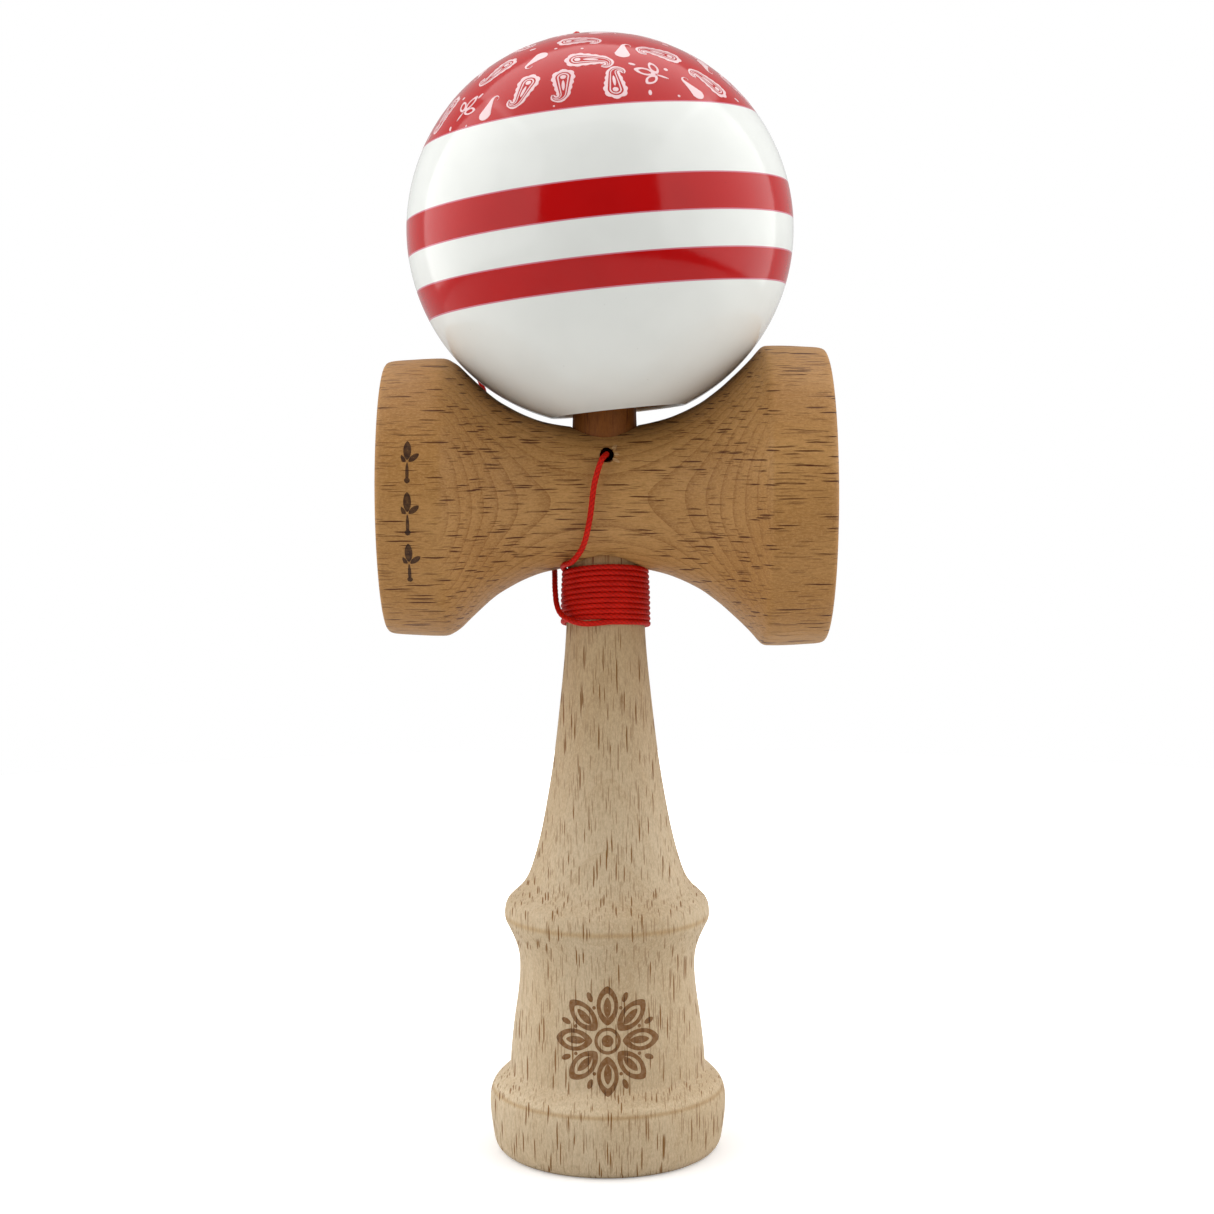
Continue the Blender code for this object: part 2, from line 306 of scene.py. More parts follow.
def beech(name, grain, pale, deep, fleck, ring, ring_mm, roughness, painted_shade_and_tone=(), painted_light_lines=(), burnt=None):
    """Beech: faint growth rings layered front to back, short dark rays along the grain, fine mottle.

    ring is (colour, share); painted_shade_and_tone holds (from z, to z, colour), multiplied in up the
    piece for painted shade and darker tone;
    painted_light_lines holds (z, half width, colour) for thin rings of painted shade and painted
    highlight; burnt is the colour of a scorched mark.
    """
    look = Look(name, roughness, Specular_IOR_Level=0.24)
    drift = look.noise(along(grain, 34.0, 12.0, 12.0), 1.0)
    base = look.mix(look.ramp(drift, 0.3, 0.7), pale, deep)
    streak = look.noise(along(grain, 9.0, 0.30, 0.8), 3.0, 0.6)
    base = look.mix(look.ramp(streak, 0.38, 0.72, 0.0, 0.5), base, deep)
    parts = look.node("ShaderNodeSeparateXYZ", Vector=look.place)
    patchy = look.noise(along(grain, 1.1, 0.22, 0.5), 2.0, 0.8)
    base = look.mix(look.ramp(patchy, 0.42, 0.66, 0.0, 0.45), base, tuple(0.72 * c for c in deep))

    layers = look.node("ShaderNodeSeparateXYZ", Vector=look.stretched((46.0, ring_mm, 60.0)))
    bend = look.math("MULTIPLY", layers.outputs["X"], layers.outputs["X"])
    tilt = look.math("MULTIPLY", layers.outputs["Z"], 0.8)
    layer = look.math("ADD", look.math("ADD", layers.outputs["Y"], bend), look.math("ADD", tilt, drift))
    late = look.math("POWER", look.math("FRACT", layer), 4.0)
    if grain == "X":    # the rings show less on the cups' bands than on the slopes
        outwards = look.math("ABSOLUTE", parts.outputs["X"])
        late = look.math("MULTIPLY", late, look.ramp(outwards, 21.0 * MM, 25.0 * MM, 1.0, 0.3))
    base = look.mix(look.math("MULTIPLY", late, ring[1]), base, ring[0])

    mottle = look.noise(along(grain, 0.55, 0.28, 0.28), 2.0, 0.8)
    paler = tuple(min(1.0, 1.18 * c) for c in pale)
    base = look.mix(look.ramp(mottle, 0.42, 0.66, 0.0, 0.38), base, paler)

    wander = look.node("ShaderNodeVectorMath", {"operation": "SCALE"}, Scale=0.2 * MM)
    look.put(wander.inputs[0], look.noise((3.0, 3.0, 3.0), 1.0, output="Color"))
    uneven = look.node("ShaderNodeVectorMath", {"operation": "ADD"})
    look.put(uneven.inputs[0], look.place)
    look.put(uneven.inputs[1], wander.outputs[0])
    at = uneven.outputs[0]
    strong = look.ramp(look.noise(along(grain, 5.0, 1.1, 2.0), 0.0), 0.36, 0.56, 0.42, 1.0)
    deeper = 1.4 if grain == "X" else 0.75
    rays = look.ramp(look.cells(along(grain, 9.4, 0.45, 3.6 * deeper), at), 0.22, 0.28, 1.0, 0.0)
    short = look.ramp(look.cells(along(grain, 6.4, 0.32, 2.4 * deeper), at), 0.17, 0.25, 1.0, 0.0)
    hair = look.ramp(look.cells(along(grain, 3.4, 0.24, 1.6 * deeper), at), 0.12, 0.26, 1.0, 0.0)
    marks = look.math("MAXIMUM", look.math("MULTIPLY", rays, strong), look.math("MULTIPLY", short, 0.6))
    marks = look.math("MAXIMUM", marks, look.math("MULTIPLY", hair, 0.3))
    base = look.mix(marks, base, fleck)

    # Multiplied in up the piece: painted shade where the cross piece and the ball shade the handle, and a
    # darker tone towards the top
    for low, high, tone in painted_shade_and_tone:
        base = look.mix(look.ramp(parts.outputs["Z"], low * MM, high * MM), base, tone, "MULTIPLY")
    # Thin rings multiplied in: painted shade lines, and a painted highlight where the colour is above one
    for height, half, tone in painted_light_lines:
        off = look.math("ABSOLUTE", look.math("SUBTRACT", parts.outputs["Z"], height * MM))
        base = look.mix(look.ramp(off, 0.0, half * MM, 1.0, 0.0), base, tone, "MULTIPLY")
    if burnt:
        char = look.ramp(look.noise((0.6, 0.6, 0.6), 2.0), 0.3, 0.7, 0.84, 1.0)
        base = look.mix(char, base, look.mix(marks, burnt, tuple(0.4 * c for c in burnt)))
    look.colour(base)
    look.rough(look.ramp(streak, 0.3, 0.8, roughness - 0.06, roughness + 0.09))
    sunk = look.math("MULTIPLY", marks, 0.9)
    height = look.math("SUBTRACT", look.math("MULTIPLY", streak, 0.35), sunk)
    look.bump(look.math("ADD", height, look.math("MULTIPLY", mottle, 0.3)), 0.05, 0.6)
    return look.material


HANDLE_BURN = (0.190, 0.080, 0.022)
CROSS_BURN = (0.042, 0.015, 0.005)
HANDLE_WOOD = dict(grain="Z", pale=(0.600, 0.474, 0.316), deep=(0.510, 0.378, 0.228),
                   fleck=(0.230, 0.108, 0.030), ring=((0.38, 0.24, 0.115), 0.22), ring_mm=2.6,
                   roughness=0.58,
                   # Up the handle: darker towards the top from z 45 to 86; painted shade from z 90.5 under
                   # the cross piece, deeper painted shade on the spike from z 98 where the ball shades it
                   painted_shade_and_tone=((45.0, 86.0, (0.86, 0.78, 0.66)), (90.5, 94.0, (0.66, 0.44, 0.25)),
                          (98.0, 110.0, (0.86, 0.60, 0.30))),
                   # Thin rings: painted shade on the flare's bead (z 36.9) and where the base's shoulder
                   # rounds over (z 9.7), painted highlight just above it (z 10.6)
                   painted_light_lines=((36.9, 0.7, (0.87, 0.79, 0.67)), (9.7, 0.5, (0.84, 0.76, 0.64)),
                            (10.6, 0.8, (1.08, 1.10, 1.12))))
CROSS_WOOD = dict(grain="X", pale=(0.470, 0.252, 0.086), deep=(0.370, 0.178, 0.049),
                  fleck=(0.080, 0.020, 0.0005), ring=((0.20, 0.075, 0.016), 0.62), ring_mm=1.45,
                  roughness=0.5)


def string_material():
    look = Look("red_braided_nylon", 0.6, Specular_IOR_Level=0.14)
    fine = look.noise((0.09, 0.09, 0.09), 2.0, 0.7)
    slow = look.noise((2.5, 2.5, 2.5), 2.0)
    base = look.mix(look.ramp(slow, 0.3, 0.7), (0.67, 0.010, 0.003), (0.56, 0.007, 0.002))
    # Painted highlight: fine specks of bright orange stand for glints on the strands
    base = look.mix(look.ramp(fine, 0.5, 0.85, 0.0, 0.5), base, (0.88, 0.060, 0.014))
    # Painted shade: the braid's crevices, where the strand crown is low, are darkened towards a deep
    # red-black
    crown = look.node("ShaderNodeAttribute", {"attribute_name": "crown"}).outputs["Fac"]
    base = look.mix(look.ramp(crown, 0.15, 0.9, 0.62, 0.0), base, (0.16, 0.002, 0.001))
    look.colour(base)
    look.rough(look.ramp(fine, 0.3, 0.7, 0.42, 0.6))
    look.bump(fine, 0.04, 0.7)
    return look.material


def lacquer(name, colour, second, roughness):
    """Sprayed lacquer over turned wood: glossy, with a faint orange peel and a few specks of dust."""
    look = Look(name, roughness, Specular_IOR_Level=0.3)
    slow = look.noise((9.0, 9.0, 9.0), 2.0)
    base = look.mix(look.ramp(slow, 0.3, 0.7), colour, second)
    speck = look.ramp(look.cells((1.9, 1.9, 1.9)), 0.035, 0.06, 1.0, 0.0)
    chosen = look.ramp(look.noise((2.6, 2.6, 2.6), 0.0), 0.56, 0.6)
    base = look.mix(look.math("MULTIPLY", look.math("MULTIPLY", speck, chosen), 0.35), base,
                    tuple(0.55 * c for c in colour))
    look.colour(base)
    look.rough(look.ramp(look.noise((1.2, 1.2, 1.2), 2.0), 0.3, 0.7, roughness * 0.85, roughness * 1.25))
    peel = look.noise((1.3, 1.3, 1.3), 1.0)
    look.bump(look.math("ADD", peel, look.math("MULTIPLY", speck, 0.4)), 0.012, 0.5)
    return look.material


# ---- string --------------------------------------------------------------------------------
def braided_tube(name, line, radius, sides=14):
    """A round braid along the line: a closed tube whose surface rises and falls in crossing strands.

    Returns the tube and the points of its middle line.
    """
    p = np.array(line, float)
    run = np.concatenate([[0.0], np.cumsum(np.linalg.norm(np.diff(p, axis=0), axis=1))])
    step = 0.15
    count = int(run[-1] / step)
    at = np.linspace(0, run[-1], count + 1)
    c = np.stack([np.interp(at, run, p[:, i]) for i in range(3)], 1)
    d = np.gradient(c, axis=0)
    d /= np.linalg.norm(d, axis=1)[:, None]
    side = np.cross(d[0], (0.3, 0.2, 1.0))
    s1 = np.empty_like(d)
    for i, tangent in enumerate(d):
        side = side - tangent * side.dot(tangent)
        side = side / np.linalg.norm(side)
        s1[i] = side
    s2 = np.cross(d, s1)
    a = 2 * math.pi * np.arange(sides) / sides
    strands, advance = 4, 0.8
    turn = strands * a[None, :] / (2 * math.pi)
    u = turn + at[:, None] / advance
    v = turn - at[:, None] / advance
    over = np.cos(math.pi * (u + v)) * np.cos(math.pi * (u - v)) * 0.5 + 0.5
    rise = over * np.abs(np.cos(math.pi * u)) + (1 - over) * np.abs(np.cos(math.pi * v))
    r = radius * (0.80 + 0.20 * rise)
    ring = c[:, None, :] + r[..., None] * (np.cos(a)[None, :, None] * s1[:, None, :]
                                           + np.sin(a)[None, :, None] * s2[:, None, :])
    points = [tuple(q) for q in ring.reshape(-1, 3)]
    faces = []
    for i in range(count):
        for k in range(sides):
            n = (k + 1) % sides
            faces.append((i * sides + k, i * sides + n, (i + 1) * sides + n, (i + 1) * sides + k))
    faces.append(tuple(reversed(range(sides))))
    faces.append(tuple(count * sides + k for k in range(sides)))
    obj = mesh_from(name, points, faces)
    smooth(obj.data, 60)
    crown = obj.data.attributes.new("crown", "FLOAT", "POINT")
    crown.data.foreach_set("value", rise.ravel())
    return obj, c


def handle_radius(z):
    """The handle's radius where the string is wound round it."""
    return float(np.interp(z, [78.0, 84.0, SEAT_Z], [6.35, 6.0, SEAT_R]))


FRONT_POINTS = [(STRING_HOLE_X, 1.75, 108.6), (STRING_HOLE_X, -4.0, 108.6), (0.2, -8.2, 108.6),
                (-0.45, -10.2, 107.9), (-1.5, -11.6, 104.6), (-2.3, -11.5, 99.0), (-3.3, -10.0, 95.0),
                (-4.9, -7.6, 92.6), (-6.4, -4.0, 91.7)]
CLIMB_POINTS = [(-3.3, -6.75, 83.0), (-5.6, -5.3, 83.5), (-6.95, -3.7, 84.4), (-7.6, -2.0, 86.0)]
RISER_POINTS = [(-7.6, -2.0, 86.0), (-7.8, -0.4, 88.0), (-7.9, 2.6, 90.0), (-8.1, 5.7, 91.2),
                (-8.8, 9.4, 94.0), (-10.8, 12.8, 98.8), (-14.0, 14.8, 105.5), (-17.6, 14.7, 113.5)]


def wrap_point(turn):
    """The string after that many turns: it starts at the left, goes round the back, and works down.

    The turns lean: they sit higher at the front than behind.
    """
    angle = math.pi - 2 * math.pi * turn
    z = 90.85 - 0.81 * turn - (1.36 - 0.025 * turn) * math.sin(angle)
    swell = 0.10 * math.sin(math.pi * min(turn / WRAP_TURNS, 1.0))
    r = handle_radius(z) + STRING_R + swell
    return r * math.cos(angle), r * math.sin(angle), z


def front_and_wrap():
    """The string from the hole down to the turns, round them, and up to where it starts to rise."""
    steps = 48
    wrap = [wrap_point(k / steps) for k in range(1, int(steps * (WRAP_TURNS - 0.25)))]
    line = curve_through(FRONT_POINTS + wrap[:4], 0.4)
    away = curve_through(wrap[-4:] + CLIMB_POINTS, 0.3)
    return joined(line, wrap[3:-3], away)


def riser_line():
    """The string's rising end: up behind the cross piece, round the ball, in at its top, to the bead."""
    points = [Vector(p) for p in RISER_POINTS]
    clear = BALL_R + STRING_R + 0.12
    for k in range(9):
        share = k / 8
        lat = math.radians(-30 + 112 * share)
        az = math.radians(147 - 39 * share)
        out = clear + max(0.0, 0.6 - 2.4 * share)
        points.append(BALL_CENTRE + BALL_TIP @ Vector((out * math.cos(lat) * math.cos(az),
                                                       out * math.cos(lat) * math.sin(az),
                                                       out * math.sin(lat))))
    for place in ((-0.75, 2.3, 30.3), (-0.3, 0.9, 30.1), (0, 0.15, 29.2), (0, 0, 27.6), (0, 0, 20.0),
                  (0, 0, 9.3)):
        points.append(BALL_CENTRE + BALL_TIP @ Vector(place))
    return [tuple(q) for q in curve_through([tuple(p) for p in points], 0.4)]


red_string = string_material()


def make_string():
    line = front_and_wrap()
    front, centre = braided_tube("string_front_and_turns", line, STRING_R)
    front.data.materials.append(red_string)
    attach(front, BODY)
    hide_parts("string_front", "string_wrap")
    handle_knot = trefoil("knot_in_handle", (STRING_HOLE_X, 3.45, STRING_HOLE_Z), 0.36, 0.42,
                          Matrix.Rotation(math.pi / 2, 3, "X"))
    finish_knot(handle_knot, BODY, "string_knot_in_handle")

    riser, centre = braided_tube("string_behind_ball", riser_line(), STRING_R)
    riser.data.materials.append(red_string)
    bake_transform(riser)
    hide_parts("string_riser")
    return riser, centre


def trefoil(name, centre, size, radius, turn=None):
    """A tight overhand knot, as a closed tube on a trefoil."""
    line, steps = [], 120
    for k in range(steps + 1):
        t = 2 * math.pi * k / steps
        x, y = math.sin(t) + 2 * math.sin(2 * t), math.cos(t) - 2 * math.cos(2 * t)
        line.append(Vector((x, y, -math.sin(3 * t))) * size)
    if turn:
        line = [turn @ q for q in line]
    obj, _ = braided_tube(name, [tuple(Vector(centre) + q) for q in line], radius, sides=12)
    return obj


def finish_knot(knot, body, node):
    """Red string for the knot, which rides on the body and stands for the CAD node."""
    knot.data.materials.append(red_string)
    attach(knot, body)
    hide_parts(node)


# ---- printed and burned marks --------------------------------------------------------------
class Marks:
    """Thin raised shapes drawn in millimetres on a surface; put(x, y, rise) gives the place on it."""

    def __init__(self, put, rise):
        self.put, self.rise, self.sunk = put, rise, -0.06
        self.points, self.faces = [], []

    def band(self, outer, inner):
        """The band between two closed outlines with as many points each."""
        n, start = len(outer), len(self.points)
        for line, rise in ((outer, self.rise), (inner, self.rise), (inner, self.sunk), (outer, self.sunk)):
            self.points += [self.put(x, y, rise) for x, y in line]
        for ring in range(4):
            low, high = start + ring * n, start + (ring + 1) % 4 * n
            for k in range(n):
                following = (k + 1) % n
                self.faces.append((low + k, low + following, high + following, high + k))

    def solid(self, outline):
        """A filled outline, all but a pinhole in its middle."""
        self.band(outline, shrunk(outline, 0.05))

    def piece(self, name, material):
        """The marks so far as one object, with points closer than half a micrometre merged."""
        obj = mesh_from(name, self.points, self.faces)
        bm = bmesh.new()
        bm.from_mesh(obj.data)
        near = 0.0005 * MM
        bmesh.ops.remove_doubles(bm, verts=bm.verts, dist=near)
        bmesh.ops.dissolve_degenerate(bm, edges=bm.edges, dist=near)
        bmesh.ops.recalc_face_normals(bm, faces=bm.faces)
        bm.to_mesh(obj.data)
        bm.free()
        obj.data.shade_flat()
        obj.data.materials.append(material)
        return obj


def moved(line, turn=0.0, size=1.0, flip=False):
    """The outline mirrored, scaled, and turned that many degrees about the origin."""
    c, s = math.cos(math.radians(turn)), math.sin(math.radians(turn))
    out = []
    for px, py in line:
        px = -px * size if flip else px * size
        py = py * size
        out.append((px * c - py * s, px * s + py * c))
    return out


def drop_spine(share, length, curl):
    """A place on a drop's middle line and its heading, from the middle of the head to the tail's end."""
    x, y, heading = 0.0, 0.0, -math.pi / 2
    steps, straight_until = 24, 0.52
    for k in range(round(share * steps)):
        late = max(0.0, (k / steps - straight_until) / (1 - straight_until))
        heading = -math.pi / 2 - math.radians(curl) * late ** 1.25
        x += math.cos(heading) * length / steps
        y += math.sin(heading) * length / steps
    return x, y, heading


def drop(grow, head=1.15, length=6.7, curl=215, scallop=0.0, taper=0.85, filled=1.0):
    """A closed drop outline, its round head at the origin and its tail down; grow widens it all round.

    With filled at 0 the outline falls onto the middle line.
    """
    side, arc, scallops = 24, 14, 15
    thinnest = 0.03
    line = [(k / side, -1) for k in range(side, 0, -1)]
    line += [(k / arc, 0) for k in range(arc + 1)]
    line += [(k / side, 1) for k in range(1, side + 1)]
    out = []
    for i, (share, hand) in enumerate(line):
        ripple = scallop * abs(math.sin(math.pi * scallops * i / (len(line) - 1)))
        if hand == 0:
            r = filled * (head + grow + ripple)
            out.append((r * math.cos(math.pi * share), r * math.sin(math.pi * share)))
        else:
            x, y, heading = drop_spine(share, length, curl)
            r = head * (1 - share) ** taper + grow * (1 - 0.6 * share) + ripple * (1 - share) ** 0.5
            r = filled * max(thinnest, r)
            out.append((x + hand * r * math.sin(heading), y - hand * r * math.cos(heading)))
    return out


def oval(rx, ry, count=20, y=0.0):
    turn = 2 * math.pi / count
    return [(rx * math.cos(turn * k), y + ry * math.sin(turn * k)) for k in range(count)]


def leaf(length, width, y=0.0, count=24):
    """A pointed leaf from (0, y) upwards."""
    out = []
    for k in range(count):
        t = 2 * math.pi * k / count
        along_leaf = 0.5 - 0.5 * math.cos(t)
        out.append((width / 2 * math.sin(t) * abs(math.sin(t)) ** 0.35, y + length * along_leaf))
    return out


def middle(line):
    """The outline's middle point, once for each of its points."""
    n = len(line)
    centre = (sum(p[0] for p in line) / n, sum(p[1] for p in line) / n)
    return [centre] * n


def shrunk(line, share):
    cx, cy = middle(line)[0]
    return [(cx + (x - cx) * share, cy + (y - cy) * share) for x, y in line]


def raised(line, height):
    return [(x, y + height) for x, y in line]


def paisley(marks, **place):
    """A scalloped drop with a drop, a dot and a stripe inside; its middle is at the place given."""
    up = 2.3
    for outer, inner in ((drop(0.56, scallop=0.30), drop(0.10)), (drop(-0.20), drop(-0.42))):
        marks.band(moved(raised(outer, up), **place), moved(raised(inner, up), **place))
    for shape in (oval(0.46, 0.46, y=up), leaf(2.3, 0.5, y=up - 3.1)):
        marks.band(moved(shape, **place), moved(middle(shape), **place))


def comma(marks, **place):
    shape = dict(head=1.12, length=5.0, curl=235, taper=1.7)
    outer, inner = raised(drop(0.0, **shape), 1.3), raised(drop(0.0, filled=0.0, **shape), 1.3)
    marks.band(moved(outer, **place), moved(inner, **place))


def sprig(marks, **place):
    for angle, size in ((-62, 0.85), (0, 1.0), (62, 0.85)):
        petal = moved(leaf(2.6, 1.35, y=0.25), turn=angle, size=size)
        marks.band(moved(petal, **place), moved(shrunk(petal, 0.60), **place))
    stem = leaf(1.5, 0.3, y=-1.35)
    marks.band(moved(stem, **place), moved(middle(stem), **place))


def seed(marks, **place):
    shape = oval(0.26, 0.52, 14)
    marks.band(moved(shape, **place), moved(middle(shape), **place))


def bud(marks, **place):
    shape = oval(0.3, 0.3, 14)
    marks.band(moved(shape, **place), moved(middle(shape), **place))


# The cap's print on one half of the ball: what, degrees round from the front, latitude, turn, size, flip
PRINT = [
    (paisley, -23, 37.5, -14, 0.92, False), (paisley, -8, 37.5, 2, 0.92, False),
    (paisley, 10, 38.6, 176, 0.92, False), (paisley, 4, 48.5, 78, 0.98, False),
    (paisley, 1, 62.5, 80, 0.90, False), (paisley, 35, 51.5, 238, 0.95, True),
    (paisley, 49, 38.5, 210, 0.92, True), (paisley, -43, 50.0, -28, 0.92, False),
    (paisley, -64, 37.0, -6, 0.92, False), (paisley, 72, 36.5, 20, 0.92, True),
    (paisley, -78, 51.0, 150, 0.92, False), (paisley, 74, 53.0, 110, 0.92, False),
    (paisley, -47, 66.0, 60, 0.86, True), (paisley, 57, 67.0, 200, 0.86, False),
    (comma, -23, 52.5, -35, 0.95, True), (comma, 19, 53.0, 160, 1.0, False),
    (comma, 38, 34.5, 205, 0.95, False), (comma, -36, 34.8, 170, 0.95, False),
    (comma, -62, 54.5, 40, 0.9, False), (comma, 60, 46.0, 320, 0.9, True),
    (comma, -84, 33.0, 20, 0.9, False), (comma, 20, 71.0, 80, 0.85, False),
    (sprig, 27, 39.5, 62, 1.25, False), (sprig, -49, 35.5, -30, 1.15, False),
    (sprig, 87, 44.0, 40, 1.2, False), (sprig, -16, 76.0, 100, 1.1, False),
    (seed, 19, 44.8, 60, 1.0, False), (seed, -43, 40.5, -40, 1.0, False),
    (seed, 21, 32.6, -15, 1.0, False), (seed, -53, 30.8, 25, 0.9, False),
    (seed, 52, 58.0, 30, 1.0, False), (seed, -30, 61.0, 100, 1.0, False),
    (seed, 60, 31.5, 50, 0.9, False), (seed, -72, 31.5, -20, 1.0, False),
    (bud, 32, 42.0, 0, 1.1, False), (bud, 31, 31.2, 0, 0.7, False), (bud, -44, 30.0, 0, 0.55, False),
    (bud, -55, 42.0, 0, 0.9, False), (bud, -11, 30.8, 0, 0.5, False), (bud, 0, 55.6, 0, 0.7, False),
    (bud, 87, 35.0, 0, 1.0, False), (bud, -14, 58.0, 0, 0.8, False), (bud, 84, 62.0, 0, 0.9, False),
]


# ---- ball ----------------------------------------------------------------------------------
RED_CAP_FROM = 14.4
RED_BANDS = ((-1.3, 3.8), (-11.0, -6.75))
EDGE_LINE = 0.2         # the soft line between red and white
HOLE_R = 9.9
STRING_HOLE_R = 1.75
SKIN_FROM = 28.9        # lacquer outside this radius, bare wood inside
LIP_LAT = math.radians(-68.8)


def ball_profile():
    """Down the outside from the string hole, round the lip, and back up inside the hole."""
    edges = [RED_CAP_FROM, RED_CAP_FROM + EDGE_LINE]
    for low, high in RED_BANDS:
        edges += [low - EDGE_LINE, low, high, high + EDGE_LINE]
    heights = sorted(edges, reverse=True)
    lats = [math.asin(z / BALL_R) for z in heights]
    rim_r, step = 2.1, 0.9
    stops = [math.acos(rim_r / BALL_R)] + lats + [LIP_LAT]
    line = [(STRING_HOLE_R, 29.15), (1.8, 29.35)]
    for start, end in zip(stops, stops[1:]):
        n = max(1, math.ceil((start - end) * BALL_R / step))
        line += [(BALL_R * math.cos(start + (end - start) * k / n),
                  BALL_R * math.sin(start + (end - start) * k / n)) for k in range(n)]
    lip = curve_through([(BALL_R * math.cos(LIP_LAT), 0, BALL_R * math.sin(LIP_LAT)), (10.4, 0, -27.6),
                         (10.1, 0, -27.45), (HOLE_R, 0, -26.9)], 0.2)
    inside = curve_through([(HOLE_R, 0, -26.9), (9.8, 0, -10.0), (9.6, 0, 9.0), (8.7, 0, 12.4),
                            (6.6, 0, 14.4), (3.4, 0, 15.0)], 1.0)
    line += [(p[0], p[2]) for p in lip + inside[1:]]
    return line + [(STRING_HOLE_R, 15.05), (STRING_HOLE_R, 22.0)]


def make_ball():
    """The ball in its four materials, and the print on its cap, the same on both halves."""
    red = lacquer("lacquer_red", (0.490, 0.0032, 0.0036), (0.455, 0.0028, 0.0032), 0.11)
    white = lacquer("lacquer_white", (0.82, 0.835, 0.80), (0.79, 0.805, 0.77), 0.10)
    edge = lacquer("lacquer_edge", (0.62, 0.20, 0.26), (0.60, 0.18, 0.24), 0.14)
    bare = beech("bare_wood_in_ball", "Z", (0.55, 0.36, 0.19), (0.45, 0.27, 0.13), (0.2, 0.09, 0.03),
                 ((0.3, 0.15, 0.06), 0.3), 2.4, 0.6)
    ball = turned("ball_red_and_white", ball_profile(), segments=240, ring=True, sharp=40)
    for wood_or_paint in (white, red, edge, bare):
        ball.data.materials.append(wood_or_paint)
    for face in ball.data.polygons:
        z = face.center.z / MM
        outside = face.center.length / MM > SKIN_FROM
        in_red = z > RED_CAP_FROM or any(low < z < high for low, high in RED_BANDS)
        on_line = RED_CAP_FROM < z < RED_CAP_FROM + EDGE_LINE
        for low, high in RED_BANDS:
            on_line = on_line or low - EDGE_LINE < z < low or high < z < high + EDGE_LINE
        face.material_index = 3 if not outside else 2 if on_line else 1 if in_red else 0
    place = Matrix.Translation(BALL_CENTRE * MM) @ BALL_TIP.to_4x4()
    ball.data.transform(place)
    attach(ball, BALL_BODY)
    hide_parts("tama_ball")

    marks = Marks(None, 0.03)
    for half in (0, 180):
        for shape, az, lat, turn, size, flip in PRINT:
            marks.put = on_ball(az + half, lat)
            shape(marks, turn=turn, size=size, flip=flip)
    ink = lacquer("print_pale_pink", (0.86, 0.64, 0.65), (0.80, 0.54, 0.56), 0.2)
    prints = marks.piece("ball_print", ink)
    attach(prints, BALL_BODY)


def on_ball(az, lat):
    """Places on the ball around that spot: x to the right, y towards the ball's top."""
    a, b = math.radians(az - 90), math.radians(lat)
    out = Vector((math.cos(b) * math.cos(a), math.cos(b) * math.sin(a), math.sin(b)))
    east = Vector((-math.sin(a), math.cos(a), 0.0))
    north = out.cross(east)

    def put(x, y, rise):
        spot = (out * BALL_R + east * x + north * y).normalized() * (BALL_R + rise)
        return BALL_CENTRE + BALL_TIP @ spot
    return put


# ---- handle --------------------------------------------------------------------------------
def handle_profile():
    """From the middle of the base cup over its rim and up the outside to the spike's tip."""
    line = dish(14.8, 5.5) + [(15.6, 0.0), (16.6, 0.0)]
    runs = (
        [(16.6, 0.0), (17.2, 0.4), (17.7, 1.15), (18.15, 3.5), (18.5, 6.8), (18.38, 8.9), (17.9, 10.2),
         (17.15, 11.1), (16.3, 11.9), (15.6, 12.5)],
        [(15.6, 12.5), (15.35, 12.95), (15.25, 13.8), (15.15, 15.4), (14.65, 20.0), (13.95, 25.0),
         (13.7, 28.5), (13.85, 31.0), (14.45, 33.1), (15.2, 34.8), (15.65, 35.7)],
        [(15.65, 35.7), (15.92, 36.3), (16.02, 37.2), (15.85, 38.5), (15.45, 39.35)],
        [(15.45, 39.35), (14.8, 40.0), (13.5, 41.2), (12.5, 42.6), (11.85, 44.1), (11.15, 46.3),
         (10.2, 50.0), (9.05, 56.0), (8.1, 62.0), (7.15, 70.0), (6.35, 78.0), (6.0, 84.0),
         (SEAT_R, SEAT_Z), (SPIKE_R, SPIKE_Z), (4.7, 119.0), (4.2, 126.0), (3.7, 133.0),
         (3.15, 141.0), (2.8, 146.6)],
        [(2.8, 146.6), (2.55, 147.6), (1.75, 148.6), (0.0, 149.0)],
    )
    for run in runs:
        line += [(max(0.0, p[0]), p[2]) for p in curve_through([(r, 0, z) for r, z in run], 0.6)[1:]]
    return line


HANDLE_LINE = handle_profile()


def on_handle(z_middle):
    """Places on the front of the base: x round it to the right, y up."""
    low_z, thinnest = 1.0, 13.0
    base = [p for p in HANDLE_LINE if p[0] > thinnest and p[1] > low_z]

    def put(x, y, rise):
        r = float(np.interp(z_middle + y, [p[1] for p in base], [p[0] for p in base]))
        a = x / r
        return Vector(((r + rise) * math.sin(a), -(r + rise) * math.cos(a), z_middle + y))
    return put


def rosette(marks, petals=8, reach=8.3):
    """Pointed petals round a ring, with a seed and a dot in each gap: the burned mark on the base."""
    for k in range(petals):
        turn = 360 * k / petals
        petal = leaf(reach - 2.4, 3.3, y=2.3, count=40)
        marks.band(moved(petal, turn=turn), moved(shrunk(petal, 0.62), turn=turn))
        marks.solid(moved(leaf(reach - 5.2, 1.15, y=3.4), turn=turn))
        for spot in (oval(0.42, 0.8, 18, y=reach - 1.3), oval(0.28, 0.28, 12, y=reach - 3.0)):
            marks.solid(moved(spot, turn=turn + 180 / petals))
    marks.band(oval(2.0, 2.0, 48), oval(1.5, 1.5, 48))
    marks.solid(oval(0.9, 0.9, 32))


